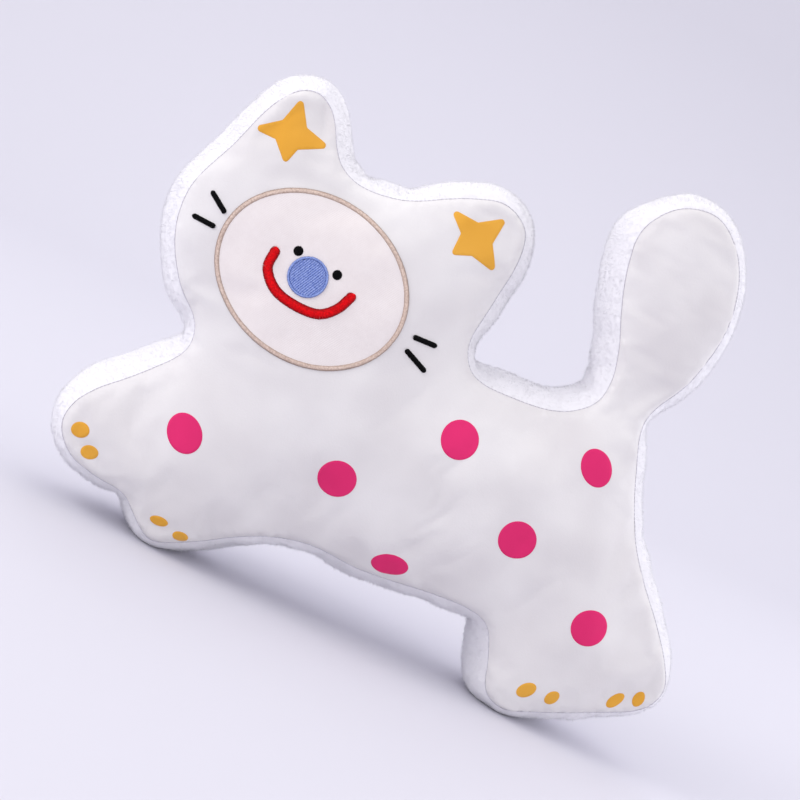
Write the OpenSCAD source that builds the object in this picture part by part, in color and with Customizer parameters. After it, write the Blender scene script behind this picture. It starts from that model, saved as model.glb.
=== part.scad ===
// Stuffed cat cushion: two cat-shaped panels joined by a plush side band, filled with fibre.
// X runs from the nose side to the hind paw, +Z is up and the face looks towards -Y.
// The origin is on the floor, under the middle of the cushion.

/* [Cushion] */
// Length of the front panel from the raised front paw to the raised hind paw
panel_length = 494; // [420:1:640]
// Width of the plush side band between its two seams
band_width = 84; // [60:1:110]
// How far a stuffed panel stands out from its seam
panel_crown = 28; // [15:1:40]
// How far in from the seam a panel rounds over
panel_rounding = 14; // [8:1:15]
// How far the stuffed side band bulges past its seams
band_bulge = 13; // [6:1:15]
// Thickness of the fabric with its pile
fabric = 2.4; // [1.6:0.1:3.2]

/* [Seams] */
// Thickness of the sewing thread line in the seam
seam_thread = 1; // [0.6:0.1:1.4]
// Number of hand stitches that close the filling gap
closing_stitch_count = 16; // [8:1:24]
// Length of one hand stitch
closing_stitch_length = 2.6; // [1.5:0.1:4]

/* [Face] */
// Length and height of the face patch
face_size = [139, 112]; // [80:1:150]
// Width of the satin stitch border round the face patch
face_border = 3.6; // [2:0.1:6]
// Diameter of the nose
nose_diameter = 29; // [20:1:36]
// Diameter of an eye
eye_diameter = 7; // [4:0.5:9]
// Width of the smile
mouth_width = 7.5; // [4:0.5:9]
// Width of a whisker
whisker_width = 3.6; // [2:0.1:5]

/* [Prints] */
// Size of the body dots against their pattern
dot_scale = 1; // [0.7:0.05:1.15]
// Size of the toe marks against their pattern
toe_scale = 1; // [0.7:0.05:1.15]
// Radius of the ear stars' rounded tips
star_tip = 2.6; // [1:0.2:3.4]

/* [Hidden] */

// The pattern's points as [x, z], clockwise from the near ear, at the standard length.
standard_length = 494;
near_ear = [[-198, 353], [-184, 358], [-168, 350], [-147, 321], [-128, 313]];
crown = [[-95, 318], [-58, 338]];
far_ear = [[-28, 348], [-6, 338], [1, 316], [-2, 272], [-3, 243], [9, 227]];
back_line = [[42, 225], [78, 232]];
tail = [
    [97, 249], [98, 274], [74, 336], [68, 374], [86, 402],
    [116, 409], [145, 387], [161, 342], [155, 291], [139, 252]
];
rump = [[150, 217], [178, 164], [232, 104], [247, 77], [240, 57], [205, 36]];
hind_leg = [[165, 17], [142, 9], [124, 16], [112, 43], [100, 62]];
belly = [[76, 66], [0, 57], [-45, 57], [-80, 46]];
front_leg = [[-128, 17], [-150, 9], [-166, 18], [-182, 31]];
raised_paw = [[-205, 34], [-230, 41], [-246, 60], [-242, 84], [-208, 123], [-189, 150]];
neck = [[-192, 168], [-214, 189], [-234, 222], [-238, 257], [-224, 297], [-211, 335]];

size_ratio = panel_length / standard_length;
settle = 4;              // how far the stuffed paws flatten on the floor
function on_pattern(p) = size_ratio * [p[0], p[1]] - [0, settle];
pattern = [
    for (p = concat(near_ear, crown, far_ear, back_line, tail, rump,
                    hind_leg, belly, front_leg, raised_paw, neck)) on_pattern(p)
];
points = len(pattern);
steps = 3;               // outline points for each pattern point
last = points * steps - 1;

// The smooth curve through the pattern, knotted by the root of the distance between points.
function at(i) = pattern[(i + points) % points];
function knot(a, b) = sqrt(norm(b - a));
function slope(a, b, c) =
    (b - a) / knot(a, b) - (c - a) / (knot(a, b) + knot(b, c)) + (c - b) / knot(b, c);
function curve(a, b, c, d, u) =
    (2 * pow(u, 3) - 3 * u * u + 1) * b
    + (pow(u, 3) - 2 * u * u + u) * knot(b, c) * slope(a, b, c)
    + (3 * u * u - 2 * pow(u, 3)) * c
    + (pow(u, 3) - u * u) * knot(b, c) * slope(b, c, d);
outline = [
    for (i = [0 : points - 1], j = [0 : steps - 1])
        curve(at(i - 1), at(i), at(i + 1), at(i + 2), j / steps)
];

// Outward direction at each outline point, and how freely the band can bulge there:
// it lies flat where the outline turns inwards, at the neck, the tail and the legs.
function near(i) = outline[(i + last + 1) % (last + 1)];
function unit(v) = v / norm(v);
outward = [for (i = [0 : last]) let (t = unit(near(i + 1) - near(i - 1))) [-t.y, t.x]];
function inward_turn(i) =
    let (a = near(i) - near(i - steps), b = near(i + steps) - near(i))
    max(0, asin((a.x * b.y - a.y * b.x) / norm(a) / norm(b)) * PI / 90 / (norm(a) + norm(b)));
hold_back = 1.5;         // how strongly an inward turn holds the bulge back
freedom = [for (i = [0 : last]) 1 / (1 + hold_back * band_bulge * inward_turn(i))];

half_band = band_width / 2;
front_y = -(half_band + panel_crown);     // the flat middle of the front panel
slack = 0.3;                              // room between the filling and the fabric
backing = 0.5;                            // thickness of the sheet behind the embroidery
ink = 0.5;                                // depth that a print soaks into the velvet
thread_gap = 0.05;                        // between a seam's thread and the fabric's edge
round_turns = [0, 30, 60, 90];            // a panel's rounding, from the seam to the middle
bulge_stations = [-1, -0.6, 0, 0.6, 1];   // the band's cross-section, as shares of half its width

// One closed ring of points round the cushion, moved outwards and kept above the floor.
function ring(grow, bulge, y, floor_z = 0) = [
    for (i = [0 : last])
        let (p = outline[i] + (grow + bulge * freedom[i]) * outward[i])
        [p.x, y, max(p.y, floor_z)]
];
// A panel's ring at one turn of its rounding, with the panel grown by a skin's thickness.
function panel_ring(turn, skin, floor_z = 0) =
    ring(skin - panel_rounding * (1 - cos(turn)), 0,
         -half_band - (panel_crown + skin) * sin(turn), floor_z);
function band_ring(station, skin, floor_z = 0) =
    ring(skin, band_bulge * (1 - station * station), station * half_band, floor_z);

// A closed solid through a list of rings that all have the same number of points. The resize
// changes no size: it has the two flat ends divided into triangles inside their own outline.
module stack(rings) {
    n = len(rings[0]);
    m = len(rings);
    resize([0, 0, 0]) polyhedron(
        points = [for (r = rings) each r],
        faces = concat(
            [[for (i = [0 : n - 1]) i]],
            [for (j = [0 : m - 2], i = [0 : n - 1])
                each [[j * n + i, (j + 1) * n + (i + 1) % n, j * n + (i + 1) % n],
                      [j * n + i, (j + 1) * n + i, (j + 1) * n + (i + 1) % n]]],
            [[for (i = [n - 1 : -1 : 0]) (m - 1) * n + i]]
        ),
        convexity = 10
    );
}

// A layer that follows the front panel, between two distances from its outer surface.
module front_layer(inner, outer) {
    stack(concat(
        [for (t = [3 : -1 : 0]) panel_ring(round_turns[t], outer, max(0, -outer))],
        [for (t = [0 : 3]) panel_ring(round_turns[t], inner, max(0, -inner))]
    ));
}

// A length of side band, from one outline point to another.
module side_strip(from, to) {
    outer = [for (s = bulge_stations) band_ring(s, 0)];
    inner = [for (s = bulge_stations) band_ring(s, -fabric, fabric)];
    stack([
        for (k = [from : to])
            let (i = k % (last + 1))
            concat([for (s = [0 : 4]) inner[s][i]], [for (s = [4 : -1 : 0]) outer[s][i]])
    ]);
}

// Flat work on the middle of the front panel: a 2-D shape at a height above the velvet.
module on_front(height, thickness) {
    translate([0, front_y - height, 0])
        rotate([90, 0, 0])
        linear_extrude(thickness)
        children();
}

// Ink that follows the panel's rounding: a 2-D shape cut from a thin skin.
module printed() {
    intersection() {
        front_layer(0, ink);
        translate([0, -half_band, 0])
            rotate([90, 0, 0])
            linear_extrude(panel_crown + 2 * ink)
            children();
    }
}

face_centre = on_pattern([-130, 237]);
face_tilt = -8;
fleece = 1;              // thickness of the face patch
stitch_height = 1.2;     // thickness of raised embroidery
edging_height = 1.4;     // thickness of the satin stitch round the face and the nose

module ellipse(size) {
    scale([size[0], size[1]]) circle(d = 1, $fn = 72);
}

// Places a shape in the face's own directions, measured from the middle of the face.
module in_face(p, turn = 0) {
    translate([face_centre.x, face_centre.y])
        rotate(face_tilt)
        translate(p)
        rotate(turn)
        children();
}

module stroke(length, width) {
    union() {
        square([length - width, width], center = true);
        for (end = [-1, 1]) translate([end * (length - width) / 2, 0]) circle(d = width, $fn = 24);
    }
}

// A star with rounded tips, from its tips and the notches between them, each as [x, z].
tip_arc = [-75, -45, -15, 15, 45, 75];
module star(tips, notches) {
    polygon([
        for (k = [0 : len(tips) - 1])
            each concat(
                [for (a = tip_arc)
                    let (heading = atan2(tips[k].y, tips[k].x))
                    tips[k] - star_tip * [cos(heading), sin(heading)]
                    + star_tip * [cos(heading + a), sin(heading + a)]],
                [notches[k]]
            )
    ]);
}

module front_panel() {
    color("whitesmoke") front_layer(-fabric, 0);
}

module back_panel() {
    color("white") mirror([0, 1, 0]) front_layer(-fabric, 0);
}

// The two cross joins lie under the cushion: between the front paws and between the hind paws.
upper_start = steps * (points - len(neck) - len(raised_paw));
upper_end = steps * (len(near_ear) + len(crown) + len(far_ear) + len(back_line)
                     + len(tail) + len(rump) - 1);

module side_strip_upper() {
    color("white") side_strip(upper_start, upper_end + last + 1);
}

module side_strip_lower() {
    color("white") side_strip(upper_end, upper_start);
}

// A line of thread just outside the seam, from one outline point to another.
module seam_line(from, to) {
    shape = concat(
        [for (k = [from : to]) near(k) + seam_thread * outward[k % (last + 1)]],
        [for (k = [to : -1 : from]) near(k) + thread_gap * outward[k % (last + 1)]]
    );
    rotate([90, 0, 0]) linear_extrude(seam_thread) polygon(shape);
}

// The filling gap lies along the belly on the back seam.
gap_start = upper_end + steps * (len(hind_leg) + 1);
gap_end = gap_start + steps * 2;

module front_seam_thread() {
    color("gainsboro")
        translate([0, -half_band - thread_gap, 0])
        rotate([90, 0, 0])
        linear_extrude(seam_thread)
        difference() {
            polygon([for (i = [0 : last]) outline[i] + seam_thread * outward[i]]);
            polygon([for (i = [0 : last]) outline[i] + thread_gap * outward[i]]);
        }
}

module back_seam_thread() {
    color("gainsboro")
        translate([0, half_band + thread_gap + seam_thread, 0])
        seam_line(gap_end, gap_start + last + 1);
}

module closing_stitches() {
    color("gainsboro")
        for (k = [0 : closing_stitch_count - 1]) {
            u = gap_start + 1 + k / (closing_stitch_count - 1) * (gap_end - gap_start - 2);
            i = floor(u);
            p = near(i) + (u - i) * (near(i + 1) - near(i)) + seam_thread / 2 * outward[i];
            translate([p.x, half_band + thread_gap, p.y])
                rotate([-90, 0, 0])
                cylinder(d = 0.8 * seam_thread, h = closing_stitch_length, $fn = 24);
        }
}

module fibre_filling() {
    skin = -fabric - slack;
    color("ivory")
        stack(concat(
            [for (t = [3 : -1 : 1]) panel_ring(round_turns[t], skin - backing, fabric + slack)],
            [for (s = bulge_stations) band_ring(s, skin, fabric + slack)],
            [for (t = [1 : 3])
                [for (p = panel_ring(round_turns[t], skin - backing, fabric + slack)) [p.x, -p.y, p.z]]]
        ));
}

// The stabiliser sheet that the embroidery is sewn through, inside the front panel.
backing_margin = 10;
module embroidery_backing() {
    color("white")
        on_front(-fabric - backing, backing)
        in_face([0, 0])
        ellipse([face_size[0] + 2 * backing_margin, face_size[1] + 2 * backing_margin]);
}

module face_patch() {
    color("mistyrose") on_front(0, fleece) in_face([0, 0]) ellipse(face_size);
}

module face_patch_border() {
    color("tan")
        on_front(0, edging_height)
        in_face([0, 0])
        difference() {
            ellipse([face_size[0] + 2 * face_border, face_size[1] + 2 * face_border]);
            ellipse(face_size);
        }
}

nose_place = [-3.5, 0];
rim_width = 1.8;
module nose_fill() {
    color("cornflowerblue")
        on_front(fleece, stitch_height)
        in_face(nose_place)
        circle(d = nose_diameter - 2 * rim_width, $fn = 72);
}

module nose_rim() {
    color("royalblue")
        on_front(fleece, edging_height)
        in_face(nose_place)
        difference() {
            circle(d = nose_diameter, $fn = 72);
            circle(d = nose_diameter - 2 * rim_width, $fn = 72);
        }
}

// The smile's middle line, from the middle of the face, and its satin stitch with round ends.
smile = [
    [-32, 6], [-32, -6], [-20, -18], [0, -21.5], [16, -19], [26, -9], [30, 1]
];
smile_steps = 4;
smile_last = len(smile) - 1;
function smile_at(i) =
    i < 0 ? 2 * smile[0] - smile[1]
    : i > smile_last ? 2 * smile[smile_last] - smile[smile_last - 1]
    : smile[i];
smile_line = [
    for (i = [0 : smile_last - 1], j = [0 : smile_steps - 1])
        curve(smile_at(i - 1), smile_at(i), smile_at(i + 1), smile_at(i + 2), j / smile_steps),
    smile[smile_last]
];
// Half a circle of points round the smile's end, from one side of the stitching to the other.
function round_end(i, from) = [
    for (a = [15 : 15 : 165])
        smile_line[i] + mouth_width / 2 * [cos(from + a), sin(from + a)]
];
function smile_heading(i) =
    let (d = smile_line[min(i + 1, len(smile_line) - 1)] - smile_line[max(i - 1, 0)])
    atan2(d.y, d.x);
function beside(i, turn) =
    smile_line[i] + mouth_width / 2 * [cos(smile_heading(i) + turn), sin(smile_heading(i) + turn)];
module mouth() {
    n = len(smile_line) - 1;
    color("red")
        on_front(fleece, stitch_height)
        translate(face_centre)
        polygon(concat(
            [for (i = [0 : n]) beside(i, -90)],
            round_end(n, smile_heading(n) - 90),
            [for (i = [n : -1 : 0]) beside(i, 90)],
            round_end(0, smile_heading(0) + 90)
        ));
}

module eye(p) {
    color("black") on_front(fleece, stitch_height) in_face(p) circle(d = eye_diameter, $fn = 48);
}
module left_eye() { eye([-19.3, 11.4]); }
module right_eye() { eye([12.8, 12.9]); }

module whisker(p, turn, length) {
    color("black") on_front(0, stitch_height) in_face(p, turn) stroke(length, whisker_width);
}
module left_upper_whisker() { whisker([-85, 7], -24, 18); }
module left_lower_whisker() { whisker([-86, -10], 8, 18); }
module right_upper_whisker() { whisker([92, 9], 10, 19); }
module right_lower_whisker() { whisker([94, -6], -15, 22); }

// Each star is its middle, its tips and the notches that follow them, anticlockwise.
module ear_star(p, tips, notches) {
    color("goldenrod") printed() translate(on_pattern(p)) star(tips, notches);
}
module left_ear_star() {
    ear_star(
        [-188, 322],
        [[25.5, 3], [-4.5, 24], [-24, -7], [4, -19.5]],
        [[7.5, 9], [-10.5, 6], [-9, -8.5], [8.5, -8]]
    );
}
module right_ear_star() {
    ear_star(
        [-37, 315],
        [[13, 20.5], [-22.5, 10], [-11, -17], [21.5, -14.5]],
        [[-4, 11], [-12, -1.5], [2.5, -12.5], [12.5, 2]]
    );
}

// Each mark is [x, z, length, width, turn].
module marks(places, size) {
    printed()
        for (m = places)
            translate(on_pattern(m)) rotate(m[4]) ellipse(size * [m[2], m[3]]);
}
module body_dots() {
    color("mediumvioletred")
        marks([
            [-162, 97, 30, 25.5, 134], [-50, 117, 28.5, 28, 0], [17, 181, 29, 28, 117],
            [15, 74, 28, 17.5, 13], [88, 134, 28.5, 28.5, 0], [117, 206, 29, 23, 135],
            [167, 98, 28, 28, 0]
        ], dot_scale);
}
module front_paw_toes() {
    color("goldenrod")
        marks([
            [-230, 63, 14, 12, 22], [-217, 51, 13.5, 11, 22],
            [-150, 28, 14, 8, 7], [-131, 24, 12, 8.5, 7]
        ], toe_scale);
}
module hind_paw_toes() {
    color("goldenrod")
        marks([
            [149, 34, 16, 11, 57], [169, 37, 13, 10, 72],
            [214, 55, 16, 9, 60], [230, 63, 13, 9, 89]
        ], toe_scale);
}

front_panel();
back_panel();
side_strip_upper();
side_strip_lower();
front_seam_thread();
back_seam_thread();
closing_stitches();
fibre_filling();
embroidery_backing();
face_patch();
face_patch_border();
nose_fill();
nose_rim();
mouth();
left_eye();
right_eye();
left_upper_whisker();
left_lower_whisker();
right_upper_whisker();
right_lower_whisker();
left_ear_star();
right_ear_star();
body_dots();
front_paw_toes();
hind_paw_toes();
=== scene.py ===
# %% [markdown]
# A stuffed cat cushion is two cat-shaped panels of fabric joined by a side band, turned right
# side out, filled with fibre and closed by hand. This lesson builds it the same way: it reads
# the seam line from the frame, sews a closed skin along it, lets a cloth simulation fill the
# skin, and then adds pile, prints and embroidery on the result.

# %% The frame that everything is built around
import math
import bpy
import bmesh
import numpy as np
from mathutils import Matrix, Vector, geometry, noise
from mathutils.bvhtree import BVHTree


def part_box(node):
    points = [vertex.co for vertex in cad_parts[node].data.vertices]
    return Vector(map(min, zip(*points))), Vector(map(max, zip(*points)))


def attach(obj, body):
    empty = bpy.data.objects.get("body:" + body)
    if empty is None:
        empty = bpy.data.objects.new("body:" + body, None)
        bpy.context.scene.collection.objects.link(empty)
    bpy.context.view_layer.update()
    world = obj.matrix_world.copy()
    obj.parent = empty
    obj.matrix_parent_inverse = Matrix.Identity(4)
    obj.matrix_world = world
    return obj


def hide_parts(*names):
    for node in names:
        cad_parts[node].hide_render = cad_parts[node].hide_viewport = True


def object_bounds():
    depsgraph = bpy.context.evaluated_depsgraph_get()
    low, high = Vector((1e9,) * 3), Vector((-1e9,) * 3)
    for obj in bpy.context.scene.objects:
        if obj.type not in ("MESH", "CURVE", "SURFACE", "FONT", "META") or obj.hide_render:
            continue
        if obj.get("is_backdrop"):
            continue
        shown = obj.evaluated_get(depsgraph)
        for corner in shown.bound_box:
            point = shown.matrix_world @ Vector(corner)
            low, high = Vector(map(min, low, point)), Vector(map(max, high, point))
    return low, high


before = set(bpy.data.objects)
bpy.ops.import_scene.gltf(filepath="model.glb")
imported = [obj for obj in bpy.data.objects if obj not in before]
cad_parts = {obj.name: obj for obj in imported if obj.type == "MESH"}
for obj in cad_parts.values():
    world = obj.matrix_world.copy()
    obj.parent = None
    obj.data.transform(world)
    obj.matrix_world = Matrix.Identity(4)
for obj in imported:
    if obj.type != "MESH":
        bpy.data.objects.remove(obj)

MM = 0.001
BODY = "root"
cad_low, cad_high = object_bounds()
rng = np.random.default_rng(11)
print("cushion size in mm:", [round(s / MM) for s in cad_high - cad_low])

# %% [markdown]
# A long lens stands a little above the cushion and to its left. It is rolled, so that the cat
# leans in the picture as it does when its front is propped up, while the model stays upright.

# %% Camera
VIEW_TURN = math.radians(6.26)
VIEW_LIFT = math.radians(6.13)
VIEW_ROLL = math.radians(27)
VIEW_DISTANCE = 1.5177
LENS_MM = 93.55
SENSOR_MM = 36
LOOK_AT_X = -32 * MM
LOOK_AT_Z = 181 * MM

seam_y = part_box("front_panel")[1].y
centre_of_view = Vector((LOOK_AT_X, seam_y, LOOK_AT_Z))
towards_camera = Vector((
    -math.sin(VIEW_TURN) * math.cos(VIEW_LIFT),
    -math.cos(VIEW_TURN) * math.cos(VIEW_LIFT),
    math.sin(VIEW_LIFT),
))
camera = bpy.data.objects.new("camera", bpy.data.cameras.new("camera"))
bpy.context.scene.collection.objects.link(camera)
camera.data.lens = LENS_MM
camera.data.sensor_width = SENSOR_MM
camera.rotation_mode = "QUATERNION"
level = (-towards_camera).to_track_quat("-Z", "Y")
camera.rotation_quaternion = level @ Matrix.Rotation(VIEW_ROLL, 4, "Z").to_quaternion()
camera.location = centre_of_view + VIEW_DISTANCE * towards_camera
bpy.context.scene.camera = camera
print("camera at", [round(c, 3) for c in camera.location])

# %% [markdown]
# The pattern of the cushion is one outline, cut twice. It could be drawn again here, but then
# it might not fit. The frame holds it as the edge of the front panel, so it is read from there.

# %% Reading an outline from the frame
WELD = 0.01 * MM         # corners closer than this are one
IN_PLANE = 0.02 * MM     # points closer than this to a plane lie in it


def welded(name):
    """A CAD node's mesh as a bmesh of its own, with its split corners joined."""
    mesh = bmesh.new()
    mesh.from_mesh(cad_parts[name].data)
    bmesh.ops.remove_doubles(mesh, verts=mesh.verts, dist=WELD)
    return mesh


def loops_of(edges):
    """Edges joined end to end, as lists of vertices, longest first."""
    joined = {}
    for edge in edges:
        a, b = edge.verts
        joined.setdefault(a, []).append(b)
        joined.setdefault(b, []).append(a)
    loops = []
    while joined:
        start = min(joined, key=lambda v: v.index)
        loop = [start]
        while joined.get(loop[-1]):
            here = loop[-1]
            there = joined[here].pop()
            joined[there].remove(here)
            loop.append(there)
        loops.append(loop[:-1])
        joined = {v: others for v, others in joined.items() if others}
    return sorted(loops, key=len, reverse=True)


def area_inside(loop):
    """The area inside a loop of (x, z) points, negative if the loop runs clockwise."""
    after = np.roll(loop, -1, 0)
    return float((loop[:, 0] * after[:, 1] - after[:, 0] * loop[:, 1]).sum()) / 2


def borders_of(mesh, faces):
    """The loops round some faces of a mesh, as (x, z) points, anticlockwise, longest first."""
    edges = [e for e in mesh.edges if sum(f in faces for f in e.link_faces) == 1]
    loops = [np.array([(v.co.x, v.co.z) for v in loop]) for loop in loops_of(edges)]
    return [loop if area_inside(loop) > 0 else loop[::-1] for loop in loops]


def flat_outline(mesh, y):
    """The widest outline of a mesh in the plane at y."""
    flat = {f for f in mesh.faces if all(abs(v.co.y - y) < IN_PLANE for v in f.verts)}
    return max(borders_of(mesh, flat), key=lambda loop: np.ptp(loop[:, 0]))


rough_seam = flat_outline(welded("front_panel"), seam_y)
print("the pattern's outline has", len(rough_seam), "points")

# %% [markdown]
# The outline's points are close together in tight bends and far apart elsewhere. Cloth folds
# evenly only if its points are evenly spaced, so the seam line is smoothed and spaced again.

# %% The seam line, evenly spaced
GAP = 5 * MM             # spacing of the cloth's points
FINE = 8                 # steps that each side of the outline is smoothed in


def distance_along(line):
    """How far each point of a line is from its first one, measured along the line."""
    return np.concatenate([[0], np.cumsum(np.linalg.norm(np.diff(line, axis=0), axis=1))])


def points_at(want, along, line):
    """The points of a line at the distances that are wanted, in the line's own dimensions."""
    return np.stack([np.interp(want, along, line[:, k]) for k in range(line.shape[1])], -1)


def resample(points, gap):
    """A closed loop resampled evenly along a smooth curve, with each new point's place in it."""
    n = len(points)
    t = (np.arange(FINE) / FINE)[:, None]
    fine = []
    for i in range(n):
        a, b, c, d = (points[(i + k) % n] for k in (-1, 0, 1, 2))
        curve = 2 * b + (c - a) * t + (2 * a - 5 * b + 4 * c - d) * t ** 2
        fine.append((curve + (3 * b - a - 3 * c + d) * t ** 3) / 2)
    fine = np.vstack(fine + [points[:1]])
    along = distance_along(fine)
    count = round(along[-1] / gap)
    want = np.arange(count) * along[-1] / count
    return points_at(want, along, fine), np.interp(want, along, np.arange(len(fine)) / FINE)


seam, seam_place = resample(rough_seam, GAP)
COUNT = len(seam)
tangent = np.roll(seam, -1, 0) - np.roll(seam, 1, 0)
tangent /= np.linalg.norm(tangent, axis=1)[:, None]
outward = np.stack([tangent[:, 1], -tangent[:, 0]], 1)
print("seam of", round(COUNT * GAP / MM), "mm in", COUNT, "points")

# %% [markdown]
# The band is two strips, sewn together where nobody looks: between the front paws and between
# the hind paws. The lower strip's own corners lie on the seam line, so they tell where it ends.

# %% Where the side strips meet
low_strip = {(round(v.co.x, 4), round(v.co.z, 4)) for v in welded("side_strip_lower").verts
             if abs(v.co.y - seam_y) < IN_PLANE}
on_low = [i for i, p in enumerate(rough_seam) if (round(p[0], 4), round(p[1], 4)) in low_strip]
low_ends = [i for i in on_low if (i - 1) % len(rough_seam) not in on_low
            or (i + 1) % len(rough_seam) not in on_low]
joins = sorted(int(np.argmin(abs(seam_place - i))) for i in low_ends)
runs = [np.arange(joins[0], joins[1] + 1), np.arange(joins[1], joins[0] + COUNT + 1) % COUNT]
lower_run, upper_run = sorted(runs, key=lambda run: seam[run[len(run) // 2]][1])
print("strip lengths in mm:", len(upper_run) * GAP / MM, len(lower_run) * GAP / MM)

# %% [markdown]
# A panel is filled with even triangles: staggered rows of points inside the outline, joined so
# that no sliver is left. Even triangles matter because a grid of squares would let the cloth
# shear easily one way and stiffly the other.

# %% Triangles inside an outline
def is_inside(points, loop):
    """Which points lie inside a closed loop, by counting the edges to the right of each."""
    a, b = loop, np.roll(loop, -1, 0)
    x, z = points[:, :1], points[:, 1:]
    crosses = (a[:, 1] > z) != (b[:, 1] > z)
    reach = a[:, 0] + (z - a[:, 1]) / (b[:, 1] - a[:, 1] + 1e-12) * (b[:, 0] - a[:, 0])
    return (crosses & (x < reach)).sum(1) % 2 == 1


CLEAR_OF_EDGE = 0.6      # share of the gap that inner points keep from the outline


def fill_outline(loop, gap):
    """Points and triangles inside a loop. The loop's own points come first."""
    low, high = loop.min(0), loop.max(0)
    rows = np.arange(low[1], high[1], gap * math.sqrt(3) / 2)
    across = np.arange(low[0], high[0], gap)
    grid = np.array([(x + k % 2 * gap / 2, z) for k, z in enumerate(rows) for x in across])
    grid = grid[is_inside(grid, loop)]
    clear = np.array([np.linalg.norm(loop - p, axis=1).min() > CLEAR_OF_EDGE * gap for p in grid])
    points = np.vstack([loop, grid[clear]])
    ring = list(range(len(loop)))
    edges = list(zip(ring, ring[1:] + ring[:1]))
    made = geometry.delaunay_2d_cdt([Vector(p) for p in points], edges, [ring], 1, 1e-7)
    source = [olds[0] for olds in made[3]]
    faces = []
    for face in made[2]:
        a, b, c = (source[v] for v in face)
        u, w = points[b] - points[a], points[c] - points[a]
        faces.append((a, b, c) if u[0] * w[1] - u[1] * w[0] > 0 else (a, c, b))
    return points, faces


panel_points, panel_faces = fill_outline(seam, GAP)
INNER = len(panel_points) - COUNT
print("panel of", len(panel_points), "points and", len(panel_faces), "triangles")

# %% [markdown]
# Stuffing lifts a wide part of a panel more than a narrow one: the body stands out further than
# the tail. A soap film under pressure does the same, so its height is solved on the triangles,
# and its root gives a pillow's rounder section.

# %% The height of a stuffed panel
FILM_ROUNDS = 2500       # enough for the widest part of the body to settle
PILLOW_POWER = 0.56      # 0.5 would be a half ellipse in section


def film_height(points, faces, fixed):
    """Height of a film held at its first points and pushed up evenly, from 0 to 1."""
    near = [set() for _ in points]
    for a, b, c in faces:
        near[a] |= {b, c}
        near[b] |= {a, c}
        near[c] |= {a, b}
    widest = max(len(s) for s in near)
    table = np.array([sorted(s) + [i] * (widest - len(s)) for i, s in enumerate(near)])
    own = np.array([widest - len(s) for s in near])
    degree = widest - own
    height = np.zeros(len(points))
    for _ in range(FILM_ROUNDS):
        height = (height[table].sum(1) - own * height) / degree + 1
        height[:fixed] = 0
    return height / height.max()


crown = seam_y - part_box("front_panel")[0].y
film = film_height(panel_points, panel_faces, COUNT) ** PILLOW_POWER
print("crown in mm:", round(crown / MM, 1))

# %% [markdown]
# The band bulges between its two seams, but not by the same amount all round. At an inward turn
# of the outline, as at the neck, it has to lie flatter, or it would fold into itself. It is also
# drawn in where the panels pull hardest. In front of the hind leg it is pushed out instead.

# %% How far the band may bulge
HOLD_BACK = 1.5          # how strongly an inward turn holds the bulge back
TURN_SPREAD = 6          # how many times a turn is averaged along the seam
PILE_STANDS = 1.0 * MM   # how far the plush's pile stands off its ground
FULLNESS = 0.84          # how full the band is elsewhere
DRAWN_IN = [             # centre as shares of the seam's box, reach, share drawn in
    ((0.34, 0.83), 65 * MM, 0.50),   # the crown between the ears
    ((0.67, 1.00), 45 * MM, 0.38),   # the tip of the tail
    ((0.83, 0.90), 50 * MM, 0.25),   # the back of the tail
    ((0.96, 0.25), 70 * MM, 0.50),   # the back of the hind leg
    ((0.00, 0.05), 45 * MM, 0.20),   # under the raised paw
    ((0.03, 0.72), 60 * MM, 0.18),   # the near cheek
    ((0.67, 0.09), 38 * MM, -0.60),  # in front of the hind leg
]
band_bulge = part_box("front_panel")[0].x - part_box("side_strip_upper")[0].x - PILE_STANDS


def smooth_round(values, times):
    """Values round a closed loop, averaged with their neighbours several times."""
    for _ in range(times):
        values = (np.roll(values, 1, 0) + 2 * values + np.roll(values, -1, 0)) / 4
    return values


bend = np.cross(np.roll(tangent, 1, 0), np.roll(tangent, -1, 0)) / (2 * GAP)
inward_turn = smooth_round(np.maximum(0, -bend), TURN_SPREAD)
freedom = 1 / (1 + HOLD_BACK * band_bulge * inward_turn)
for share_xz, reach, drawn in DRAWN_IN:
    spot = seam.min(0) + np.array(share_xz) * np.ptp(seam, axis=0)
    far = np.linalg.norm(seam - spot, axis=1)
    freedom = freedom * (1 - drawn * np.exp(-(far / reach) ** 2))
freedom = FULLNESS * freedom
print("the band bulges by", round(band_bulge * freedom.min() / MM, 1), "to",
      round(band_bulge * freedom.max() / MM, 1), "mm")

# %% [markdown]
# Now the closed skin is sewn together: the band as rows of squares from seam to seam, and a
# panel on each side. One closed skin could also be made from separate pieces, but then every
# seam would have to be stitched in the simulation, which is slow and seldom stays closed.

# %% The closed skin, lightly filled
ROWS = 16                # squares across the band


def band_row(share):
    """Points of the band at one share of its width, from -1 at the front seam to 1."""
    bulge = band_bulge * (1 - share ** 2) * freedom
    flat = seam + bulge[:, None] * outward
    return np.stack([flat[:, 0], np.full(COUNT, -share * seam_y), flat[:, 1]], 1)


def panel_inner(side):
    """The points of a panel inside its seam, on the front (-1) or the back (1)."""
    inner = panel_points[COUNT:]
    y = side * (abs(seam_y) + crown * film[COUNT:])
    return np.stack([inner[:, 0], y, inner[:, 1]], 1)


skin = np.vstack([band_row(-1 + 2 * j / ROWS) for j in range(ROWS + 1)]
                 + [panel_inner(-1), panel_inner(1)])
FRONT_START = (ROWS + 1) * COUNT
BACK_START = FRONT_START + INNER
BACK_SEAM = ROWS * COUNT
seam_rows = np.concatenate([np.arange(COUNT), BACK_SEAM + np.arange(COUNT)])


def panel_skin_faces(first_seam, first_inner, flip):
    """A panel's triangles, numbered as points of the skin."""
    number = np.concatenate([first_seam + np.arange(COUNT), first_inner + np.arange(INNER)])
    return [tuple(number[v] for v in (face[::-1] if flip else face)) for face in panel_faces]


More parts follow.
